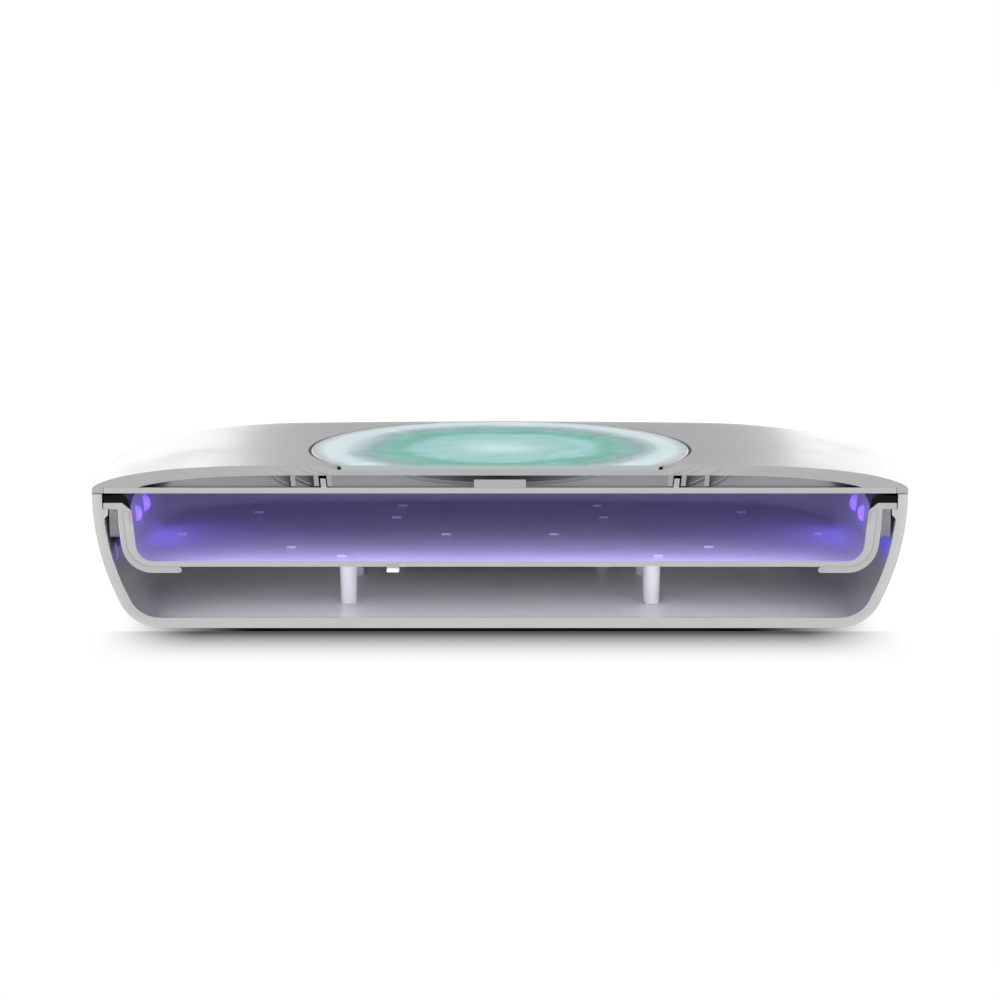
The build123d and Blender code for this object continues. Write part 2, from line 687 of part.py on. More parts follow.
with BuildPart() as lid_sensor:
    with Locations((sensor_x, -(side_y(sensor_x) - sensor_board_inset), flange_bottom - 3)):
        Box(*sensor_board_size)
    with Locations((sensor_x, -(side_y(sensor_x) - sensor_chip_inset), flange_bottom - 2.5)):
        Box(*sensor_chip_size)
finish(lid_sensor.part, "lid_sensor")


# ================================================================ lid
def dome(low, high, insets, sharpness):
    """A pillow-shaped solid between two heights, in narrow bands between plan outlines."""
    (low_x, low_y), (high_x, high_y) = insets
    with BuildPart(mode=Mode.PRIVATE) as body:
        for step in range(dome_steps + 1):
            t = (step / dome_steps) ** 2
            rise = (1 - (1 - t) ** dome_fall) ** sharpness
            with BuildSketch(Plane.XY.offset(low + (high - low) * rise)):
                with BuildLine():
                    outline(low_x + (high_x - low_x) * t, low_y + (high_y - low_y) * t**0.9)
                make_face()
        loft(ruled=True)
    return body.part


def arc_ring(inner_radius, thickness, half_span):
    """Sketch of a ring round the pad, cut off beyond half_span in Y."""
    Circle(inner_radius + thickness)
    Circle(inner_radius, mode=Mode.SUBTRACT)
    Rectangle(4 * half_length, 2 * half_span, mode=Mode.INTERSECT)


lid_outer = dome(lid_shoulder, lid_top, dome_insets, dome_sharpness)
lid_cavity = dome(panel_top, cavity_top, cavity_insets, cavity_sharpness)
lid_screw_places = [(sx * lid_screw_x, sy * lid_screw_y) for sx in (-1, 1) for sy in (-1, 1)]
lid_magnet_y = -(side_y(magnet_x) - lid_magnet_inset)

with BuildPart() as ring_ribs:
    # Two snap rings and a stiffening ring that hang from the lid's ceiling.
    for inner_radius in (*socket_radii, stiffener_radius):
        with BuildSketch(Plane.XY.offset(panel_top + rib_gap)):
            arc_ring(inner_radius, ring_wall, snap_half_span)
        extrude(amount=cavity_top - panel_top)
    for x, y in lid_screw_places:
        with Locations((x, y, panel_top + rest_gap)):
            Cylinder(lid_boss_radius, cavity_top - panel_top, align=on_base)
    add(lid_cavity, mode=Mode.INTERSECT)

with BuildPart() as lid_shell:
    add(lid_outer)
    # Skirt below the shoulder.
    with BuildSketch(Plane.XY.offset(parting)):
        with BuildLine():
            outline()
        make_face()
    extrude(amount=lid_shoulder - parting)
    # Seat for the inner panel, and the hollow above it.
    with BuildSketch(Plane.XY.offset(parting - rest_gap)):
        with BuildLine():
            outline(panel_inset - 2 * rest_gap)
        make_face()
    extrude(amount=panel_top + pad_gap - parting + rest_gap, mode=Mode.SUBTRACT)
    add(lid_cavity, mode=Mode.SUBTRACT)
    add(ring_ribs.part)
    # Recess for the charging pad.
    with Locations((0, 0, pad_recess)):
        Cylinder(groove_radius, 2 * (lid_top - pad_recess), align=on_base, mode=Mode.SUBTRACT)
    # Pockets for the magnets and holes for the screws.
    with Locations(*[(x, lid_magnet_y, panel_top) for x in (-magnet_x, magnet_x)]):
        Box(*[size + 0.2 for size in lid_magnet_size], align=on_base, mode=Mode.SUBTRACT)
    with Locations(*[(x, y, panel_top) for x, y in lid_screw_places]):
        Cylinder(lid_hole_radius, lid_hole_depth, align=on_base, mode=Mode.SUBTRACT)
    # Hinge arms and knuckles.
    with Locations((-hinge_x, hinge_y, hinge_z), (hinge_x, hinge_y, hinge_z)):
        Cylinder(barrel_radius, lid_knuckle, rotation=(0, 90, 0))
    with Locations(*[(x, hinge_y, hinge_z + arm_lift) for x in (-hinge_x, hinge_x)]):
        Box(
            lid_knuckle,
            arm_depth,
            barrel_radius - arm_lift,
            align=(Align.CENTER, Align.MAX, Align.MIN),
        )
    with Locations((-hinge_x, hinge_y, hinge_z), (hinge_x, hinge_y, hinge_z)):
        Cylinder(pin_radius + pin_gap, lid_knuckle, rotation=(0, 90, 0), mode=Mode.SUBTRACT)
finish(lid_shell.part, "lid_shell")

with BuildPart() as lid_panel:
    with BuildSketch(Plane.XY.offset(parting)):
        with BuildLine():
            outline(panel_inset)
        make_face()
    extrude(amount=panel_top - parting)
    # Tongue between the two snap rings.
    with BuildSketch(Plane.XY.offset(panel_top - rest_gap)):
        arc_ring(tongue_radius, tongue_wall, snap_half_span - tongue_radius / 13)
    extrude(amount=tongue_height + rest_gap)
    with Locations(*[(x, y, parting) for x, y in lid_screw_places]):
        Cylinder(lid_clearance_radius, 2 * (panel_top - parting + 1), mode=Mode.SUBTRACT)
        Cone(
            lid_sink_radius,
            lid_clearance_radius,
            lid_sink_depth,
            align=on_base,
            mode=Mode.SUBTRACT,
        )
finish(lid_panel.part, "lid_panel")

with BuildPart() as lid_screw:
    # Countersunk, pointing up, the flat head at Z = 0.
    Cone(lid_head_radius, lid_screw_radius, lid_head_height, align=on_base)
    Cylinder(lid_screw_radius, lid_screw_length, align=on_base)
    Box(lid_head_radius, recess_width, lid_recess_depth, mode=Mode.SUBTRACT)
    Box(recess_width, lid_head_radius, lid_recess_depth, mode=Mode.SUBTRACT)
with BuildPart() as lid_screws:
    with Locations(*[(x, y, parting + rest_gap) for x, y in lid_screw_places]):
        add(lid_screw.part)
finish(lid_screws.part, "lid_screws")

with BuildPart() as charge_pad:
    with Locations((0, 0, pad_recess + pad_gap)):
        Cylinder(pad_radius, lid_top - pad_recess - pad_gap, align=on_base)
    fillet(charge_pad.edges().sort_by(Axis.Z)[-1], pad_edge_radius)
finish(charge_pad.part, "charge_pad")

with BuildPart() as pad_gasket:
    with BuildSketch(Plane.XY.offset(pad_recess + pad_gap)):
        Circle(groove_radius - rest_gap)
        Circle(pad_radius + rest_gap, mode=Mode.SUBTRACT)
    extrude(amount=gasket_height)
finish(pad_gasket.part, "pad_gasket")

with BuildPart() as coil_carrier:
    with Locations((0, 0, panel_top + rest_gap)):
        Cylinder(carrier_radius, carrier_height, align=on_base)
        with Locations((0, 0, carrier_floor)):
            Cylinder(
                carrier_radius - carrier_rim, carrier_height, align=on_base, mode=Mode.SUBTRACT
            )
finish(coil_carrier.part, "coil_carrier")

with BuildPart() as coil_ferrite:
    with Locations((0, 0, ferrite_z)):
        Cylinder(ferrite_radius, ferrite_height, align=on_base)
finish(coil_ferrite.part, "coil_ferrite")

with BuildPart() as charging_coil:
    with Locations((0, 0, coil_z)):
        Cylinder(coil_radii[1], coil_height, align=on_base)
        Cylinder(coil_radii[0], coil_height, align=on_base, mode=Mode.SUBTRACT)
finish(charging_coil.part, "charging_coil")

with BuildPart() as lid_board:
    with Locations((0, lid_board_y, lid_board_z)):
        Box(*lid_board_size, align=on_base)
    with Locations(*[(x, y, lid_board_z + lid_board_size[2]) for x, y in lid_chip_places]):
        Box(*lid_chip_size, align=on_base)
    with Locations(*[(x, lid_board_y, panel_top) for x in (-lid_leg_x, lid_leg_x)]):
        Cylinder(lid_leg_radius, lid_board_z - panel_top, align=on_base)
finish(lid_board.part, "lid_board")

with BuildPart() as lid_spacer:
    with Locations((0, spacer_y, panel_top + rest_gap)):
        Box(*spacer_size, align=on_base)
finish(lid_spacer.part, "lid_spacer")

with BuildPart() as lid_magnets:
    with Locations(*[(x, lid_magnet_y, panel_top + rest_gap) for x in (-magnet_x, magnet_x)]):
        Box(*lid_magnet_size, align=on_base)
finish(lid_magnets.part, "lid_magnets")


# ================================================================ button
with BuildPart() as power_button:
    with BuildSketch(Plane.XZ.offset(flange_back + flange_thickness / 2)):
        with Locations((0, button_z)):
            SlotOverall(button_width, button_height)
    extrude(amount=button_depth)
    add(outer_skin.part, mode=Mode.INTERSECT)
    with BuildSketch(Plane.XZ.offset(flange_back)):
        with Locations((0, button_z)):
            SlotOverall(button_width, button_height)
    extrude(amount=2.5 * flange_thickness)
    # Flange that keeps the button from falling out.
    with BuildSketch(Plane.XZ.offset(flange_back)):
        with Locations((0, button_z)):
            RectangleRounded(*flange_size, flange_corner)
    extrude(amount=flange_thickness)
finish(power_button.part, "power_button")

with BuildPart() as switch_plunger:
    with BuildSketch(Plane.XZ.offset(flange_back - plunger_gap)):
        with Locations((0, button_z)):
            Circle(plunger_radius)
    extrude(amount=-(flange_back - plunger_gap + switch_front + plunger_reach))
finish(switch_plunger.part, "switch_plunger")
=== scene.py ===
# %% [markdown]
# # A sanitizer box for phones
#
# The object is a desk box of two white plastic shells. Under the domed lid lies a shallow
# chamber that four ultraviolet lamps light from its ends, and on the lid lies a round pad that
# charges a phone. The solids already exist, so this lesson is about what they look like: their
# plastics, metals and rubber, the copper winding, the lamps that glow inside, and a section view
# that lets the reader look in.
#
# The first cell loads the solids. Every solid is a mesh in metres with its place in its vertices,
# so nothing has to be fitted.

# %% Load the solids
import json
from math import pi, radians

import bmesh
import bpy
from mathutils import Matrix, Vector


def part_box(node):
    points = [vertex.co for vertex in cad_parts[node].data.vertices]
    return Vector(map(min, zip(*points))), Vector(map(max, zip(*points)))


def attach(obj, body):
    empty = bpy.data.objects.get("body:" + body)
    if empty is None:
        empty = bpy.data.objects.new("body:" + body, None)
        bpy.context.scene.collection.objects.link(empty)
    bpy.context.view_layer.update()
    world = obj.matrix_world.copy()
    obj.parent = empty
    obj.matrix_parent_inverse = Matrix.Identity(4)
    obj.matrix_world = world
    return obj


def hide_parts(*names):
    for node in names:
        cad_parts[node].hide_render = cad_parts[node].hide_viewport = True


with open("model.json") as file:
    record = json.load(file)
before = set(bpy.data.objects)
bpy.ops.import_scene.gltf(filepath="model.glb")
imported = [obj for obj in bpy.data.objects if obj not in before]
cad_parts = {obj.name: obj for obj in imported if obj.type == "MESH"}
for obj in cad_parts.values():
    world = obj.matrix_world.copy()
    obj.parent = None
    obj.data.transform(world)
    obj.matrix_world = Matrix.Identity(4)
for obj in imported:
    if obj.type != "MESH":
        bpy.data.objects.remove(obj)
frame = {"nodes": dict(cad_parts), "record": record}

bpy.context.scene.view_settings.view_transform = "Standard"

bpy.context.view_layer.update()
nodes = frame["nodes"]
pad_low, pad_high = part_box("charge_pad")
middle_y = (pad_low.y + pad_high.y) / 2  # the hinge sets the origin a little behind the pad

# %% [markdown]
# ## Where the section runs
#
# A section view shows a closed object with its front part taken away. The parts could be cut, but
# then they would be cut from every side. The camera can do it instead: it draws nothing nearer
# than its near clipping distance, so a camera whose clipping plane runs through the box looks
# into it, while the box itself stays whole for every other view.
#
# The lens is long and the camera looks down by ten degrees, which keeps the lid's top visible as
# a narrow band above the section.

# %% Camera
camera_back, camera_height = 0.6356, 0.1398
camera_pitch = radians(10.1)
lens_mm, sensor_mm = 89.6, 36.0
section_depth = 0.6151

camera_data = bpy.data.cameras.new("section_camera")
camera_data.lens = lens_mm
camera_data.sensor_width = sensor_mm
camera_data.clip_start = section_depth
camera_data.clip_end = 30.0
camera = bpy.data.objects.new("section_camera", camera_data)
bpy.context.scene.collection.objects.link(camera)
camera.location = (0.0, middle_y - camera_back, camera_height)
camera.rotation_euler = (pi / 2 - camera_pitch, 0.0, 0.0)
bpy.context.scene.camera = camera
print("the section starts", round(1000 * section_depth), "mm in front of the camera")

# %% [markdown]
# ## Small tools for shader trees
#
# Every finish below is a tree of shader nodes. Four short helpers keep the trees readable: one
# opens a new node group with named sockets, one adds a node and sets its plain numbers, one joins
# sockets, and one adds a Math node.


# %% Helpers for shader trees
def open_group(title, inputs, outputs):
    """A new shader node group: inputs maps a name to (kind, value), outputs a name to a kind."""
    tree = bpy.data.node_groups.new(title, "ShaderNodeTree")
    for socket_name, (kind, value) in inputs.items():
        socket = tree.interface.new_socket(socket_name, in_out="INPUT", socket_type=kind)
        socket.default_value = value
    for socket_name, kind in outputs.items():
        tree.interface.new_socket(socket_name, in_out="OUTPUT", socket_type=kind)
    entry = tree.nodes.new("NodeGroupInput")
    leave = tree.nodes.new("NodeGroupOutput")
    return tree, entry.outputs, leave.inputs


def put(tree, kind, settings=None, **values):
    """A node of that kind with its settings, and with plain values on the named inputs."""
    node = tree.nodes.new(kind)
    for key, value in (settings or {}).items():
        setattr(node, key, value)
    for key, value in values.items():
        node.inputs[key.replace("_", " ")].default_value = value
    return node


def join(tree, *pairs):
    """Link each (output, input) pair."""
    for source, target in pairs:
        tree.links.new(source, target)


def maths(tree, operation, first, second=None, third=None):
    """A Math node. Sockets are linked and numbers are set. Gives its output."""
    node = put(tree, "ShaderNodeMath", {"operation": operation})
    for place, value in enumerate((first, second, third)):
        if value is None:
            continue
        if isinstance(value, (int, float)):
            node.inputs[place].default_value = value
        else:
            tree.links.new(value, node.inputs[place])
    return node.outputs[0]


FLOAT, VECTOR = "NodeSocketFloat", "NodeSocketVector"
MIX_FACTOR, MIX_FIRST, MIX_SECOND, MIX_RESULT = 0, 6, 7, 2  # sockets of a Mix node for colours
print("shader helpers are ready")

# %% [markdown]
# ## Effects that many finishes share
#
# Moulded plastic is never perfectly even. The steel mould is spark eroded, which leaves a fine
# matt grain, and the melt cools unevenly, which leaves broad and very faint changes of tone.
# Handling adds dust in still places and dull rubs. The first group gives a height, a tone and a
# roughness mask for the grain, the tone and the rubs; it draws no dust.
#
# The second group draws the fine parallel lines of turned, drawn or brushed metal. The third
# gives thin lines on a grid, broken up by noise, which reads as the copper tracks of a board.
# All of them measure Object coordinates, so their scale is a real size and they stay put when the
# lid turns.


# %% Moulded grain
def make_moulded_grain():
    tree, given, result = open_group(
        "moulded_grain",
        {"Grain per metre": (FLOAT, 2500.0), "Cloud per metre": (FLOAT, 30.0)},
        {"Height": FLOAT, "Tone": FLOAT, "Rubs": FLOAT},
    )
    place = put(tree, "ShaderNodeTexCoord").outputs["Object"]
    grain = put(tree, "ShaderNodeTexNoise", Detail=2.0, Roughness=0.6)
    cells = put(tree, "ShaderNodeTexVoronoi", {"feature": "SMOOTH_F1"}, Smoothness=0.6)
    cloud = put(tree, "ShaderNodeTexNoise", Detail=4.0, Roughness=0.55)
    rubs = put(tree, "ShaderNodeTexNoise", Detail=3.0, Roughness=0.5, Distortion=0.3)
    rub_scale = maths(tree, "MULTIPLY", given["Cloud per metre"], 1.7)
    join(
        tree,
        (place, grain.inputs["Vector"]),
        (place, cells.inputs["Vector"]),
        (place, cloud.inputs["Vector"]),
        (place, rubs.inputs["Vector"]),
        (given["Grain per metre"], grain.inputs["Scale"]),
        (given["Grain per metre"], cells.inputs["Scale"]),
        (given["Cloud per metre"], cloud.inputs["Scale"]),
        (rub_scale, rubs.inputs["Scale"]),
    )
    height = maths(tree, "MULTIPLY_ADD", cells.outputs["Distance"], 0.5, grain.outputs["Fac"])
    band = put(tree, "ShaderNodeMapRange", {"interpolation_type": "SMOOTHSTEP"},
               From_Min=0.4, From_Max=0.85)
    join(
        tree,
        (rubs.outputs["Fac"], band.inputs["Value"]),
        (height, result["Height"]),
        (cloud.outputs["Fac"], result["Tone"]),
        (band.outputs["Result"], result["Rubs"]),
    )
    return tree


def make_drawn_lines():
    tree, given, result = open_group(
        "drawn_lines",
        {"Lines per metre": (FLOAT, 4000.0), "Stretch": (VECTOR, (1.0, 0.02, 1.0))},
        {"Height": FLOAT, "Tone": FLOAT},
    )
    place = put(tree, "ShaderNodeTexCoord").outputs["Object"]
    stretch = put(tree, "ShaderNodeVectorMath", {"operation": "MULTIPLY"})
    lines = put(tree, "ShaderNodeTexNoise", Detail=3.0, Roughness=0.7)
    cloud = put(tree, "ShaderNodeTexNoise", Scale=400.0, Detail=3.0)
    join(
        tree,
        (place, stretch.inputs[0]),
        (given["Stretch"], stretch.inputs[1]),
        (stretch.outputs[0], lines.inputs["Vector"]),
        (place, cloud.inputs["Vector"]),
        (given["Lines per metre"], lines.inputs["Scale"]),
        (lines.outputs["Fac"], result["Height"]),
        (cloud.outputs["Fac"], result["Tone"]),
    )
    return tree


def make_board_tracks():
    tree, given, result = open_group(
        "board_tracks",
        {"Tracks per metre": (FLOAT, 420.0), "Track width": (FLOAT, 0.12)},
        {"Tracks": FLOAT, "Weave": FLOAT},
    )
    place = put(tree, "ShaderNodeTexCoord").outputs["Object"]
    patches = put(tree, "ShaderNodeTexVoronoi", {"distance": "MANHATTAN"})
    join(tree, (place, patches.inputs["Vector"]))
    join(tree, (given["Tracks per metre"], patches.inputs["Scale"]))
    ring = maths(tree, "PINGPONG", patches.outputs["Distance"], 0.25)
    line = maths(tree, "LESS_THAN", ring, given["Track width"])
    weave = put(tree, "ShaderNodeTexWave", Scale=1500.0, Distortion=1.0, Detail=1.0)
    join(
        tree,
        (place, weave.inputs["Vector"]),
        (line, result["Tracks"]),
        (weave.outputs["Fac"], result["Weave"]),
    )
    return tree


moulded_grain = make_moulded_grain()
drawn_lines = make_drawn_lines()
board_tracks = make_board_tracks()
print("shared effects:", [g.name for g in (moulded_grain, drawn_lines, board_tracks)])

# %% [markdown]
# ## The cut faces of the section
#
# Where the clipping plane runs through a wall, the camera starts inside the plastic and sees the
# far skin of the wall from behind. If that back side is black and glows evenly in a light grey,
# it looks like a flat cut face. Geometry's Backfacing tells the two sides apart. It stays in each
# material, next to the Principled shader, and is zero on every face that a closed object shows.


# %% A material with a cut face
def linear(red, green, blue):
    """A colour as a screen shows it, from 0 to 255, as the linear values that nodes take."""
    values = []
    for part in (red, green, blue):
        part = part / 255
        values.append(part / 12.92 if part <= 0.04045 else ((part + 0.055) / 1.055) ** 2.4)
    return (*values, 1.0)


black, white = (0.0, 0.0, 0.0, 1.0), (1.0, 1.0, 1.0, 1.0)
plastic_cut = linear(174, 174, 174)
shell_cut = linear(173, 173, 173)
# The lid's cut face glows darker than the case's: painted shade on the upper cut faces.
lid_cut_painted_shade = linear(156, 156, 156)
rubber_cut = linear(26, 26, 28)
# The flat cable's cut face glows violet, though its film is grey: painted violet light from the
# lamps in the end gap.
ribbon_cut_painted_violet = linear(104, 98, 140)


def start_material(title, **principled):
    """A material with its Principled shader, whose plain numbers are given by name.

    What glows is only seen to glow. The lamps light the scene, so glows aren't sampled as lamps.
    """
    material = bpy.data.materials.new(title)
    material.use_nodes = True
    material.cycles.emission_sampling = "NONE"
    tree = material.node_tree
    shader = tree.nodes["Principled BSDF"]
    for key, value in principled.items():
        shader.inputs[key.replace("_", " ")].default_value = value
    return material, tree, shader


def two_tones(tree, mask, first, second):
    """A colour between two others, by a mask. Each is a plain colour or the output of a node."""
    mix = put(tree, "ShaderNodeMix", {"data_type": "RGBA"})
    join(tree, (mask, mix.inputs[MIX_FACTOR]))
    for place, colour in ((MIX_FIRST, first), (MIX_SECOND, second)):
        if isinstance(colour, tuple):
            mix.inputs[place].default_value = colour
        else:
            join(tree, (colour, mix.inputs[place]))
    return mix.outputs[MIX_RESULT]


def lay_colour(tree, shader, colour_output, cut):
    """Lead a colour to the shader, black on the inside of a wall, which glows in the cut colour."""
    if cut is None:
        join(tree, (colour_output, shader.inputs["Base Color"]))
        return
    side = put(tree, "ShaderNodeNewGeometry").outputs["Backfacing"]
    join(
        tree,
        (two_tones(tree, side, colour_output, black), shader.inputs["Base Color"]),
        (side, shader.inputs["Emission Strength"]),
    )
    shader.inputs["Emission Color"].default_value = cut


def spread(tree, mask, low, high):
    """A mask from 0 to 1 as a value from low to high."""
    return maths(tree, "MULTIPLY_ADD", mask, high - low, low)


def bump(tree, shader, height, distance, strength=0.5):
    relief = put(tree, "ShaderNodeBump", Distance=distance, Strength=strength)
    join(tree, (height, relief.inputs["Height"]), (relief.outputs[0], shader.inputs["Normal"]))


def plastic(title, colour, roughness, grain=2500.0, depth=0.00002, tone=0.96, rub=0.08,
            cut=plastic_cut, **principled):
    """Moulded plastic: clouded tone, spark-eroded grain, and rubs that change the gloss."""
    material, tree, shader = start_material(title, **principled)
    effect = put(tree, "ShaderNodeGroup", {"node_tree": moulded_grain}, Grain_per_metre=grain)
    light = linear(*colour)
    shade = (light[0] * tone, light[1] * tone, light[2] * tone * 1.01, 1.0)
    lay_colour(tree, shader, two_tones(tree, effect.outputs["Tone"], shade, light), cut)
    rough = spread(tree, effect.outputs["Rubs"], roughness, roughness + rub)
    join(tree, (rough, shader.inputs["Roughness"]))
    bump(tree, shader, effect.outputs["Height"], depth)
    return material


print("plastic is ready")

# %% [markdown]
# ## The plastics and rubbers
#
# The shells are glossy white plastic, so the broad reflections slide along the shoulder of the
# lid. The frame, panel and liner are greyer and duller, because nobody polishes the mould of an
# inside part. The seal is black silicone, which must not let ultraviolet light out. Silicone has
# a soft, dusty sheen, so it gets a high roughness and a little sheen on the shader itself.

# %% Plastics and rubbers
finish = {
    "case_plastic": plastic("shell_white", (236, 236, 238), roughness=0.29, depth=0.000008,
                            cut=shell_cut),
    "frame_plastic": plastic("frame_grey", (206, 206, 210), roughness=0.42, cut=shell_cut),
    "panel_plastic": plastic("panel_grey", (214, 214, 217), roughness=0.40),
    "chamber_plastic": plastic("liner_white", (214, 212, 222), roughness=0.38, grain=1800.0),
    "carrier_plastic": plastic("carrier_grey", (178, 178, 181), roughness=0.5, tone=0.9),
    "chip_plastic": plastic("package_black", (38, 38, 41), roughness=0.45, grain=9000.0, tone=0.8),
    "button_plastic": plastic("button_grey", (168, 172, 179), roughness=0.32, depth=0.000008),
    "seal_rubber": plastic("seal_black", (36, 36, 38), roughness=0.72, tone=0.75, cut=rubber_cut,
                           Sheen_Weight=0.25, Sheen_Roughness=0.4),
    "foot_rubber": plastic("foot_grey", (74, 74, 78), roughness=0.78, tone=0.8, cut=rubber_cut,
                           Sheen_Weight=0.2, Sheen_Roughness=0.5),
    "ferrite": plastic("sintered_ferrite", (62, 62, 66), roughness=0.62, grain=5200.0,
                       depth=0.00005, tone=0.7),
}
# The lid is the case's white plastic; only its cut face glows in the darker painted shade.
lid_white_painted_shade_cut = plastic("lid_white_painted_shade_cut", (236, 236, 238), roughness=0.29, depth=0.000008, cut=lid_cut_painted_shade)
print("plastics and rubbers:", len(finish))

# %% [markdown]
# ## Metals
#
# Screws are zinc plated, the hinge pins are ground, the inlet is drawn from sheet steel, and the
# magnets are nickel plated. One function makes them all from the drawn lines: the lines give the
# bump and the gloss, and a faint cloud changes the tone.


# %% Metals
def metal(title, colour, roughness, stretch, lines=4000.0, depth=0.000006, tone=0.82, rub=0.18):
    material, tree, shader = start_material(title, Metallic=1.0)
    effect = put(tree, "ShaderNodeGroup", {"node_tree": drawn_lines}, Lines_per_metre=lines,
                 Stretch=stretch)
    light = linear(*colour)
    shade = tuple(tone * part for part in light[:3]) + (1.0,)
    lay_colour(tree, shader, two_tones(tree, effect.outputs["Tone"], shade, light), plastic_cut)
    rough = spread(tree, effect.outputs["Height"], roughness, roughness + rub)
    join(tree, (rough, shader.inputs["Roughness"]))
    bump(tree, shader, effect.outputs["Height"], depth)
    return material


finish["screw_steel"] = metal("zinc_plate", (196, 198, 202), roughness=0.28,
                              stretch=(1.0, 1.0, 0.05))
finish["pin_steel"] = metal("ground_steel", (206, 206, 208), roughness=0.16,
                            stretch=(0.02, 1.0, 1.0))
finish["inlet_steel"] = metal("drawn_steel", (190, 191, 194), roughness=0.28,
                              stretch=(1.0, 0.03, 1.0))
finish["magnet_nickel"] = metal("nickel_plate", (214, 211, 204), roughness=0.12,
                                stretch=(1.0, 1.0, 1.0), lines=900.0)
finish["copper_winding"] = metal("enamelled_copper", (196, 118, 66), roughness=0.3,
                                 stretch=(1.0, 1.0, 0.1), lines=2600.0)
print("metals:", [finish[s].name for s in ("screw_steel", "pin_steel", "inlet_steel")])

# %% [markdown]
# ## Boards, cables and lamps
#
# A circuit board is glass cloth under green lacquer, with copper tracks that show through it as
# slightly lighter lines. A flat cable is grey film with fine, paler conductors along it.
#
# A lamp is a ceramic package behind a window of quartz. The window glows, because the lamp is on.
# Its glow is a plain number on the shader, so it also reaches the exported model.


# %% Boards, cables and lamps
def circuit_board():
    material, tree, shader = start_material("green_board", Roughness=0.3)
    effect = put(tree, "ShaderNodeGroup", {"node_tree": board_tracks})
    lacquer = two_tones(tree, effect.outputs["Tracks"], linear(18, 84, 52), linear(44, 122, 78))
    lay_colour(tree, shader, lacquer, plastic_cut)
    raised = maths(tree, "MULTIPLY_ADD", effect.outputs["Weave"], 0.2, effect.outputs["Tracks"])
    bump(tree, shader, raised, 0.00003)
    return material


def flat_cable():
    material, tree, shader = start_material("flat_cable", Roughness=0.35)
    place = put(tree, "ShaderNodeTexCoord").outputs["Object"]
    wave = put(tree, "ShaderNodeTexWave", {"bands_direction": "Z"}, Scale=320.0, Distortion=0.0)
    join(tree, (place, wave.inputs["Vector"]))
    film = two_tones(tree, wave.outputs["Fac"], linear(112, 110, 116), linear(140, 138, 144))
    # Its cut face glows in painted violet light.
    lay_colour(tree, shader, film, ribbon_cut_painted_violet)
    bump(tree, shader, wave.outputs["Fac"], 0.00004)
    return material


def lit(title, colour, strength, speckle, **principled):
    """A part that glows: its tone is speckled, its glow is even."""
    material, tree, shader = start_material(title, **principled)
    effect = put(tree, "ShaderNodeGroup", {"node_tree": moulded_grain}, Grain_per_metre=speckle)
    body = two_tones(tree, effect.outputs["Tone"], linear(190, 186, 214), linear(232, 230, 244))
    join(tree, (body, shader.inputs["Base Color"]))
    bump(tree, shader, effect.outputs["Height"], 0.00001)
    shader.inputs["Emission Color"].default_value = linear(*colour)
    shader.inputs["Emission Strength"].default_value = strength
    return material


finish["circuit_board"] = circuit_board()
finish["ribbon"] = flat_cable()
finish["led_package"] = lit("lamp_package", (150, 110, 255), strength=1.0, speckle=4000.0,
                            Roughness=0.3)
finish["clear_plastic"] = lit("light_pipe", (96, 214, 190), strength=0.8, speckle=3200.0,
                              Roughness=0.3)
finish["quartz"] = lit("lamp_window", (112, 66, 246), strength=1.15, speckle=2600.0,
                       Roughness=0.12)
print("finishes so far:", len(finish))

# %% [markdown]
# ## The charging pad
#
# The pad is soft-touch plastic over the coil. While it charges, ring-shaped light shines through
# it: a pale heart, a teal ring round the coil, and a clean bright band inside the rim. The light
# is streaked as if stirred. The distance from the middle of the pad gives the rings: noise bends
# it, most in the heart and not at all at the rim, and a colour ramp turns it into a colour. A
# Mapping node puts the middle of the pad at zero, so the distance is the length of the flat part
# of the coordinates.


# %% Charging pad material
pad_rings = (
    (0.0, (196, 236, 232)), (0.28, (160, 206, 204)), (0.44, (150, 206, 202)),
    (0.56, (106, 178, 160)), (0.64, (122, 182, 170)), (0.71, (140, 172, 172)),
    (0.78, (172, 192, 194)), (0.85, (208, 228, 230)), (0.92, (214, 232, 234)),
    (0.97, (192, 200, 201)), (1.0, (170, 174, 175)),
)
pad_cut = linear(160, 172, 172)
pad_glow, streak_share = 0.47, 0.7
pad_radius = 0.0486
stir_reach, calm_start, calm_end = 0.014, 0.036, 0.044  # noise bends the rings, less near the rim


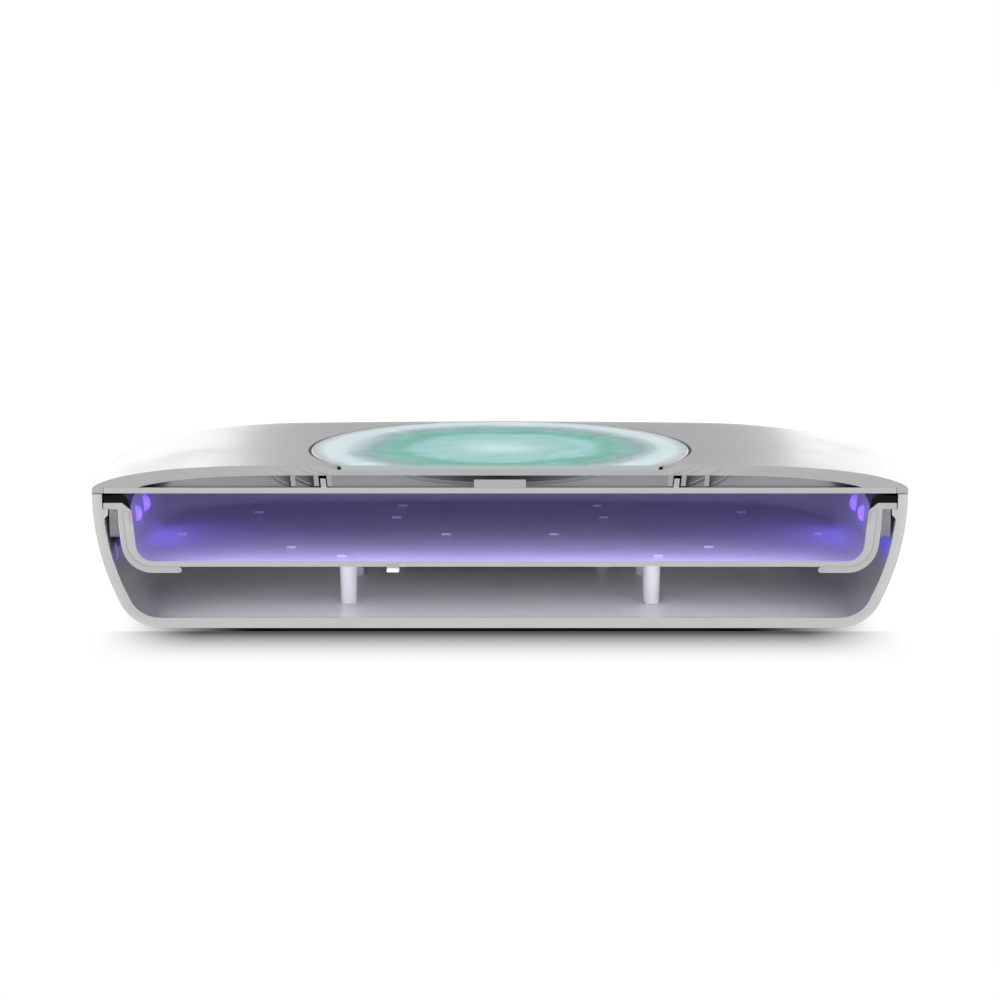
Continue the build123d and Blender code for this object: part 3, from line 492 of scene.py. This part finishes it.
def lit_pad():
    material, tree, shader = start_material("lit_pad", Roughness=0.3, Specular_IOR_Level=0.15)
    place = put(tree, "ShaderNodeTexCoord").outputs["Object"]
    centre = put(tree, "ShaderNodeMapping", Location=(0.0, -middle_y, 0.0))
    flatten = put(tree, "ShaderNodeVectorMath", {"operation": "MULTIPLY"})
    flatten.inputs[1].default_value = (1.0, 1.0, 0.0)
    length = put(tree, "ShaderNodeVectorMath", {"operation": "LENGTH"})
    stir = put(tree, "ShaderNodeTexNoise", Scale=22.0, Detail=2.0, Roughness=0.45, Distortion=0.9)
    join(
        tree,
        (place, centre.inputs["Vector"]),
        (centre.outputs[0], flatten.inputs[0]),
        (flatten.outputs[0], length.inputs[0]),
        (flatten.outputs[0], stir.inputs["Vector"]),
    )
    calm = put(tree, "ShaderNodeMapRange", From_Min=calm_start, From_Max=calm_end,
               To_Min=stir_reach, To_Max=0.0)
    join(tree, (length.outputs["Value"], calm.inputs["Value"]))
    off_centre = maths(tree, "SUBTRACT", stir.outputs["Fac"], 0.5)
    radius = maths(tree, "MULTIPLY_ADD", off_centre, calm.outputs["Result"],
                   length.outputs["Value"])
    share = maths(tree, "DIVIDE", radius, pad_radius)
    rings = put(tree, "ShaderNodeValToRGB")
    rings.color_ramp.interpolation = "EASE"
    while len(rings.color_ramp.elements) < len(pad_rings):
        rings.color_ramp.elements.new(0.5)
    for element, (position, colour) in zip(rings.color_ramp.elements, pad_rings):
        element.position = position
        element.color = linear(*colour)
    streaks = put(tree, "ShaderNodeTexNoise", Scale=48.0, Detail=4.0, Roughness=0.6, Distortion=3.0)
    streaked = put(tree, "ShaderNodeMix", {"data_type": "RGBA", "blend_type": "SOFT_LIGHT"})
    streaked.inputs[MIX_FACTOR].default_value = streak_share
    join(
        tree,
        (share, rings.inputs["Fac"]),
        (flatten.outputs[0], streaks.inputs["Vector"]),
        (rings.outputs["Color"], streaked.inputs[MIX_FIRST]),
        (streaks.outputs["Fac"], streaked.inputs[MIX_SECOND]),
    )
    light = streaked.outputs[MIX_RESULT]
    lay_colour(tree, shader, light, pad_cut)
    side = put(tree, "ShaderNodeNewGeometry").outputs["Backfacing"]
    join(
        tree,
        (two_tones(tree, side, light, pad_cut), shader.inputs["Emission Color"]),
        (spread(tree, side, pad_glow, 1.0), shader.inputs["Emission Strength"]),
    )
    effect = put(tree, "ShaderNodeGroup", {"node_tree": moulded_grain}, Grain_per_metre=3200.0)
    bump(tree, shader, effect.outputs["Height"], 0.00001)
    return material


finish["pad_surface"] = lit_pad()
print("pad material has", len(finish["pad_surface"].node_tree.nodes), "nodes")

# %% [markdown]
# ## Give every solid its finish
#
# The record says which finish each solid has. The mesh of a solid stays as it is, and only its
# material slot is filled.

# %% Finish the solids
slot_of = {row["node"]: row["material_slot"] for row in frame["record"]["subparts"]}
for node_name, solid in nodes.items():
    for slot in solid.material_slots:
        slot.material = finish[slot_of[node_name]]
print("solids with a finish:", sum(bool(o.material_slots) for o in nodes.values()))

# %% [markdown]
# ## The lid's shell
#
# The shell is a shallow pillow. Its solid is made of narrow straight bands, which show as faint
# steps in a glossy reflection. A copy of the mesh with its loose triangles joined can be shaded
# smoothly across the bands, while edges that turn by more than a set angle stay sharp. The copy
# stands for the solid and rides on the lid.


# %% Smooth lid shell
def new_piece(title, mesh):
    """An object for a mesh, in the scene."""
    piece = bpy.data.objects.new(title, mesh)
    bpy.context.scene.collection.objects.link(piece)
    return piece


def joined_copy(node_name, title):
    """A copy of a solid's mesh with its loose triangles joined into one skin."""
    mesh = bpy.data.meshes.new(title)
    work = bmesh.new()
    source = nodes[node_name].data
    corners = [work.verts.new(v.co) for v in source.vertices]
    for face in source.polygons:
        work.faces.new([corners[i] for i in face.vertices])
    bmesh.ops.remove_doubles(work, verts=work.verts, dist=2e-6)
    bmesh.ops.dissolve_degenerate(work, edges=work.edges, dist=1e-6)
    work.to_mesh(mesh)
    work.free()
    return new_piece(title, mesh)


def smooth(piece, sharp_angle):
    piece.data.shade_smooth()
    piece.data.set_sharp_from_angle(angle=radians(sharp_angle))


def dress(piece, body, slot_name, *stands_for, material=None):
    """Give a finished piece its material, its body, its slot and the solids that it stands for."""
    piece.data.materials.clear()
    piece.data.materials.append(material or finish[slot_name])
    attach(piece, body)
    if stands_for:
        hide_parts(*stands_for)


shell = joined_copy("lid_shell", "lid_shell_skin")
smooth(shell, sharp_angle=38)
dress(shell, "lid", "case_plastic", "lid_shell", material=lid_white_painted_shade_cut)
print("lid shell:", len(shell.data.polygons), "faces")

# %% [markdown]
# ## The charging coil
#
# The coil is a flat spiral of enamelled wire, wound as a pair of strands side by side. A spiral
# follows a rule, so Geometry Nodes draw it: a Spiral curve, a small round profile swept along it,
# and two instances of the result that are turned by half a turn. The tree has the sizes as named
# inputs and ends in Realize Instances and Set Material. The evaluated mesh is then kept as a
# plain mesh.


# %% Helpers for Geometry Nodes
def open_geometry(title, inputs):
    """A new geometry tree with named inputs: a name maps to (kind, value)."""
    tree = bpy.data.node_groups.new(title, "GeometryNodeTree")
    tree.interface.new_socket("Geometry", in_out="OUTPUT", socket_type="NodeSocketGeometry")
    for socket_name, (kind, value) in inputs.items():
        socket = tree.interface.new_socket(socket_name, in_out="INPUT", socket_type=kind)
        if value is not None:
            socket.default_value = value
    entry = tree.nodes.new("NodeGroupInput")
    leave = tree.nodes.new("NodeGroupOutput")
    return tree, entry.outputs, leave.inputs["Geometry"]


def close_geometry(tree, instances, coating, result):
    """End a tree: make the instances real and give them their material."""
    solid = put(tree, "GeometryNodeRealizeInstances")
    coat = put(tree, "GeometryNodeSetMaterial")
    join(
        tree,
        (instances, solid.inputs[0]),
        (solid.outputs[0], coat.inputs["Geometry"]),
        (coating, coat.inputs["Material"]),
        (coat.outputs[0], result),
    )


def bake_geometry(tree, title, settings):
    """Run a tree on an empty mesh and keep what it gives as a plain mesh object."""
    carrier = new_piece(title + "_carrier", bpy.data.meshes.new(title + "_carrier"))
    modifier = carrier.modifiers.new("tree", "NODES")
    modifier.node_group = tree
    sockets = {s.name: s.identifier for s in tree.interface.items_tree if s.in_out == "INPUT"}
    for socket_name, value in settings.items():
        modifier[sockets[socket_name]] = value
    bpy.context.view_layer.update()
    evaluated = carrier.evaluated_get(bpy.context.evaluated_depsgraph_get())
    mesh = bpy.data.meshes.new_from_object(evaluated)
    mesh.name = title
    bpy.data.objects.remove(carrier)
    return new_piece(title, mesh)


INTEGER, MATERIAL = "NodeSocketInt", "NodeSocketMaterial"
print("geometry helpers are ready")


# %% Charging coil
def make_winding():
    tree, given, result = open_geometry(
        "flat_winding",
        {"Inner radius": (FLOAT, 0.0105), "Outer radius": (FLOAT, 0.0215), "Turns": (FLOAT, 5.0),
         "Wire radius": (FLOAT, 0.00052), "Strands": (INTEGER, 2), "Finish": (MATERIAL, None)},
    )
    spiral = put(tree, "GeometryNodeCurveSpiral", Resolution=72, Height=0.0)
    profile = put(tree, "GeometryNodeCurvePrimitiveCircle", Resolution=10)
    wire = put(tree, "GeometryNodeCurveToMesh", Fill_Caps=True)
    smooth_wire = put(tree, "GeometryNodeSetShadeSmooth")
    starts = put(tree, "GeometryNodePoints")
    copies = put(tree, "GeometryNodeInstanceOnPoints")
    number = put(tree, "GeometryNodeInputIndex").outputs[0]
    turn = put(tree, "ShaderNodeCombineXYZ")
    step = maths(tree, "DIVIDE", 2 * pi, given["Strands"])
    join(
        tree,
        (given["Inner radius"], spiral.inputs["Start Radius"]),
        (given["Outer radius"], spiral.inputs["End Radius"]),
        (given["Turns"], spiral.inputs["Rotations"]),
        (given["Wire radius"], profile.inputs["Radius"]),
        (spiral.outputs[0], wire.inputs["Curve"]),
        (profile.outputs[0], wire.inputs["Profile Curve"]),
        (wire.outputs[0], smooth_wire.inputs["Geometry"]),
        (given["Strands"], starts.inputs["Count"]),
        (starts.outputs[0], copies.inputs["Points"]),
        (smooth_wire.outputs[0], copies.inputs["Instance"]),
        (maths(tree, "MULTIPLY", number, step), turn.inputs["Z"]),
        (turn.outputs[0], copies.inputs["Rotation"]),
    )
    close_geometry(tree, copies.outputs[0], given["Finish"], result)
    return tree


def settle(piece, place):
    """Move a piece by moving its vertices, so that its object stays at the origin."""
    for vertex in piece.data.vertices:
        vertex.co += Vector(place)


coil_low, coil_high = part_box("charging_coil")
coil = bake_geometry(make_winding(), "coil_winding", {"Finish": finish["copper_winding"]})
settle(coil, (coil_low + coil_high) / 2)
dress(coil, "lid", "copper_winding", "charging_coil")
print("coil winding:", len(coil.data.polygons), "faces")

# %% [markdown]
# ## The lamp lenses
#
# Each ultraviolet lamp has a clear window in the end wall of the chamber, and a shallow quartz
# lens bulges from the window to spread its light. Four equal lenses on a rectangle are a case
# for instances: a grid of two by two points places them, and a sphere pressed flat is the lens.
# Its outer half fills the window and the opening behind it.


# %% Lamp lenses
def make_lenses():
    tree, given, result = open_geometry(
        "lamp_lenses",
        {"Distance across": (FLOAT, 0.1872), "Distance apart": (FLOAT, 0.015),
         "Half size": (VECTOR, (0.0019, 0.0023, 0.0022)), "Finish": (MATERIAL, None)},
    )
    corners = put(tree, "GeometryNodeMeshGrid", Vertices_X=2, Vertices_Y=2)
    ball = put(tree, "GeometryNodeMeshUVSphere", Segments=32, Rings=16, Radius=1.0)
    smooth_ball = put(tree, "GeometryNodeSetShadeSmooth")
    copies = put(tree, "GeometryNodeInstanceOnPoints")
    join(
        tree,
        (given["Distance across"], corners.inputs["Size X"]),
        (given["Distance apart"], corners.inputs["Size Y"]),
        (corners.outputs[0], copies.inputs["Points"]),
        (ball.outputs[0], smooth_ball.inputs["Geometry"]),
        (smooth_ball.outputs[0], copies.inputs["Instance"]),
        (given["Half size"], copies.inputs["Scale"]),
    )
    close_geometry(tree, copies.outputs[0], given["Finish"], result)
    return tree


window_depth, window_width = 0.0008, 0.0049
windows_low, windows_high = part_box("uv_windows")
windows_size = windows_high - windows_low
lenses = bake_geometry(make_lenses(), "lamp_lenses", {
    "Distance across": windows_size.x - 2 * window_depth,
    "Distance apart": windows_size.y - window_width,
    "Finish": finish["quartz"],
})
settle(lenses, (windows_low + windows_high) / 2)
dress(lenses, "base", "quartz")
print("lenses fill", [round(1000 * size, 1) for size in lenses.dimensions], "mm")

# %% [markdown]
# ## Light
#
# Soft boxes on all four sides and a lamp overhead light the object. The boxes would lie as white
# glare on the edges of the lid, so reflections don't see them.
#
# Violet lamps inside the chamber stand for the four ultraviolet lamps, and a lavender one gathers
# their light where the section looks in. Small weak lamps do the same for the hollows: violet in
# the end gaps, white before the lamp carriers, in the lower compartment and under the dome of the
# lid. That last one rides on the lid. While the lid is shut, the shells keep the inner lamps'
# light inside, so they change nothing from other sides.


# %% Lamps
def area_lamp(title, place, target, size, watts, colour=(1.0, 1.0, 1.0), body=None,
              spread_deg=180, hidden=False):
    """A rectangular lamp that faces a target. It can ride on a body.

    Places are measured from the table under the middle of the pad. A hidden lamp gives light,
    but neither the camera nor a reflection sees it.
    """
    data = bpy.data.lights.new(title, "AREA")
    data.shape = "RECTANGLE"
    data.size, data.size_y = size
    data.energy = watts
    data.color = colour
    data.spread = radians(spread_deg)
    lamp = bpy.data.objects.new(title, data)
    bpy.context.scene.collection.objects.link(lamp)
    shift = Vector((0.0, middle_y, 0.0))
    lamp.location = Vector(place) + shift
    direction = Vector(target) - Vector(place)
    lamp.rotation_euler = direction.to_track_quat("-Z", "Y").to_euler()
    if hidden:
        lamp.visible_camera = lamp.visible_glossy = False
    if body:
        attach(lamp, body)


violet = (0.22, 0.17, 1.0)
deep_violet = (0.13, 0.09, 1.0)
lavender = (0.64, 0.57, 1.0)
for side_sign, side_name in ((-1, "left"), (1, "right")):
    area_lamp(f"soft_box_{side_name}", place=(side_sign * 1.1, -0.2, 0.16), target=(0, 0, 0.02),
              size=(0.8, 0.3), watts=4.0, hidden=True)
    area_lamp(f"chamber_lamp_{side_name}", place=(side_sign * 0.0915, 0.0, 0.0245),
              target=(0, 0, 0.017), size=(0.024, 0.006), watts=0.0020, colour=violet, hidden=True)
    area_lamp(f"gap_lamp_{side_name}", place=(side_sign * 0.0966, -0.010, 0.0185),
              target=(side_sign * 0.1066, -0.01046, 0.0155), size=(0.034, 0.003), watts=0.00040,
              colour=deep_violet, hidden=True)
    area_lamp(f"carrier_lamp_{side_name}", place=(side_sign * 0.0956, -0.0345, 0.0255),
              target=(side_sign * 0.0965, -0.024, 0.0255), size=(0.0014, 0.005), watts=0.00040,
              hidden=True)
area_lamp("over_head", place=(0.0, -0.1, 1.3), target=(0, 0, 0), size=(1.0, 1.0), watts=1.6)
area_lamp("front_box", place=(0.0, -1.4, 0.14), target=(0, 0, 0.02), size=(1.2, 0.3), watts=6.0,
          hidden=True)
area_lamp("rear_box", place=(0.0, 1.4, 0.16), target=(0, 0, 0.02), size=(1.2, 0.3), watts=5.0,
          hidden=True)
area_lamp("chamber_front", place=(0.0, -0.040, 0.0290), target=(0.0, -0.022, 0.016),
          size=(0.166, 0.004), watts=0.0235, colour=lavender, hidden=True)
area_lamp("lower_lamp", place=(0.0, -0.0440, 0.0118), target=(0.0, 0.06, 0.0105),
          size=(0.168, 0.004), watts=0.0120, spread_deg=110, hidden=True)
area_lamp("lid_lamp", place=(0.0, -0.0180, 0.0358), target=(0.0, -0.0180, 0.0),
          size=(0.166, 0.020), watts=0.0033, body="lid", hidden=True)

# %% [markdown]
# ## Floor and background
#
# The box stands on a white table that runs into a white background. The world shows plain white
# to the camera and to reflections, and a softer white to the surfaces that it lights. The floor
# is partly lit and partly glowing, which keeps it white. Its glow carries a painted shadow: it is
# lower near the box and lowest round its foot, so a painted soft shadow joins the box to the table.
#
# The clipping plane also opens the floor in front of the section, where the camera looks under
# it. A second white sheet a little below catches those looks. It glows by itself, and a painted
# shadow on it, a soft dark band, stands for the shadow in front of the box.


# %% World and floor
room_light, room_seen = 0.26, 1.0


def white_world():
    world = bpy.data.worlds.new("white_room")
    bpy.context.scene.world = world
    world.use_nodes = True
    tree = world.node_tree
    ground = tree.nodes["Background"]
    ground.inputs["Color"].default_value = white
    path = put(tree, "ShaderNodeLightPath")
    seen = maths(tree, "MAXIMUM", path.outputs["Is Camera Ray"], path.outputs["Is Glossy Ray"])
    seen = maths(tree, "MAXIMUM", seen, path.outputs["Is Transmission Ray"])
    strength = spread(tree, seen, room_light, room_seen)
    join(tree, (strength, ground.inputs["Strength"]))


white_world()


def sheet(title, corners):
    """A flat sheet that belongs to the set, not to the object."""
    mesh = bpy.data.meshes.new(title)
    mesh.from_pydata(corners, [], [(0, 1, 2, 3)])
    piece = new_piece(title, mesh)
    return piece


def level_sheet(title, half, z):
    return sheet(title, [(-half, -half, z), (half, -half, z), (half, half, z), (-half, half, z)])


def floor_material():
    material, tree, shader = start_material("white_table", Roughness=0.9)
    noise = put(tree, "ShaderNodeTexNoise", Scale=60.0, Detail=3.0)
    place = put(tree, "ShaderNodeTexCoord").outputs["Object"]
    join(tree, (place, noise.inputs["Vector"]))
    lay_colour(tree, shader, two_tones(tree, noise.outputs["Fac"], linear(228, 228, 228),
                                       linear(232, 232, 232)), None)
    shader.inputs["Specular IOR Level"].default_value = 0.0
    path = put(tree, "ShaderNodeLightPath")
    seen = maths(tree, "MAXIMUM", path.outputs["Is Camera Ray"], path.outputs["Is Glossy Ray"])
    reach = put(tree, "ShaderNodeVectorMath", {"operation": "LENGTH"})
    join(tree, (place, reach.inputs[0]))
    # Painted shade: the glow is lower near the box than far from it.
    far = put(tree, "ShaderNodeMapRange", From_Min=0.15, From_Max=0.7, To_Min=0.72, To_Max=1.0)
    join(tree, (reach.outputs["Value"], far.inputs["Value"]))
    # The distance outside a rectangle under the box gives a painted soft contact shadow in the
    # glow.
    centre = put(tree, "ShaderNodeMapping", Location=(0.0, -middle_y, 0.0))
    folded = put(tree, "ShaderNodeVectorMath", {"operation": "ABSOLUTE"})
    beyond = put(tree, "ShaderNodeVectorMath", {"operation": "SUBTRACT"})
    beyond.inputs[1].default_value = (*painted_shadow_half, 0.0)
    outside = put(tree, "ShaderNodeVectorMath", {"operation": "MAXIMUM"})
    outside.inputs[1].default_value = (0.0, 0.0, 0.0)
    away = put(tree, "ShaderNodeVectorMath", {"operation": "LENGTH"})
    join(
        tree,
        (place, centre.inputs["Vector"]),
        (centre.outputs[0], folded.inputs[0]),
        (folded.outputs[0], beyond.inputs[0]),
        (beyond.outputs[0], outside.inputs[0]),
        (outside.outputs[0], away.inputs[0]),
    )
    contact = put(tree, "ShaderNodeMapRange", {"interpolation_type": "SMOOTHSTEP"},
                  From_Min=0.0, From_Max=painted_shadow_reach, To_Min=0.0, To_Max=1.0)
    join(tree, (away.outputs["Value"], contact.inputs["Value"]))
    glow = maths(tree, "MULTIPLY", contact.outputs["Result"], far.outputs["Result"])
    join(tree, (maths(tree, "MULTIPLY", seen, glow), shader.inputs["Emission Strength"]))
    shader.inputs["Emission Color"].default_value = white
    return material


def shadow_sheet_material():
    """White that glows by itself, with a painted shadow: a dark band that fades towards the viewer
    and the ends.
    """
    material, tree, shader = start_material("front_shadow", Roughness=1.0)
    shader.inputs["Base Color"].default_value = black
    shader.inputs["Specular IOR Level"].default_value = 0.0
    place = put(tree, "ShaderNodeTexCoord").outputs["Object"]
    axes = put(tree, "ShaderNodeSeparateXYZ")
    join(tree, (place, axes.inputs[0]))
    near = put(tree, "ShaderNodeMapRange", From_Min=shadow_end, From_Max=shadow_start)
    join(tree, (axes.outputs["Y"], near.inputs["Value"]))
    fall = maths(tree, "POWER", near.outputs["Result"], shadow_curve)
    aside = maths(tree, "ABSOLUTE", axes.outputs["X"])
    ends = put(tree, "ShaderNodeMapRange", {"interpolation_type": "SMOOTHSTEP"},
               From_Min=shadow_half, From_Max=shadow_full)
    join(tree, (aside, ends.inputs["Value"]))
    dark = maths(tree, "MULTIPLY", fall, ends.outputs["Result"])
    bright = maths(tree, "MULTIPLY_ADD", dark, -shadow_depth, 1.0)
    join(tree, (bright, shader.inputs["Emission Strength"]))
    shader.inputs["Emission Color"].default_value = white
    return material


floor_half, lower_z = 4.0, -0.010
# The painted contact shadow on the table: half the sides of its rectangle, and how far it fades.
painted_shadow_half, painted_shadow_reach = (0.062, 0.034), 0.042
# The painted shadow on the lower sheet: where the band starts and ends, how far it reaches aside,
# its curve and depth.
shadow_start, shadow_end = middle_y + 0.0052, middle_y - 0.028
shadow_full, shadow_half, shadow_curve, shadow_depth = 0.078, 0.108, 1.6, 0.91
floor = level_sheet("table_top", floor_half, 0.0)
floor.data.materials.append(floor_material())
lower = level_sheet("lower_sheet", floor_half, lower_z)
lower.data.materials.append(shadow_sheet_material())
lower.visible_diffuse = lower.visible_glossy = lower.visible_shadow = False
print("floor is", floor.dimensions[:2])

# %% [markdown]
# ## Cards for the reflections
#
# A glossy white object needs dark and bright cards behind it, because its shape is only read from
# what it reflects. The camera looks along the lid at a low angle, so the lid reflects a low band
# of the background. A dim card in the middle turns the flat of the lid grey, and a bright card on
# each side keeps the ends white. Only reflections see the cards.


# %% Reflection cards
def card(title, x_low, x_high, strength):
    """An upright card behind the object, seen only in reflections."""
    piece = sheet(title, [(x_low, card_y, card_low), (x_high, card_y, card_low),
                          (x_high, card_y, card_high), (x_low, card_y, card_high)])
    material, _, shader = start_material(title, Roughness=1.0, Specular_IOR_Level=0.0)
    shader.inputs["Base Color"].default_value = black
    shader.inputs["Emission Color"].default_value = white
    shader.inputs["Emission Strength"].default_value = strength
    piece.data.materials.append(material)
    piece.visible_camera = piece.visible_diffuse = False
    piece.visible_shadow = piece.visible_transmission = False


card_y, card_low, card_high = 2.0, 0.12, 0.85
grey_left, grey_right, grey_glow = -0.29, 0.34, 0.34
bright_width, bright_glow = 0.75, 2.55
card("grey_card", grey_left, grey_right, grey_glow)
card("bright_card_left", grey_left - bright_width, grey_left, bright_glow)
card("bright_card_right", grey_right, grey_right + bright_width, bright_glow)
print("cards stand", card_y, "m behind the box")
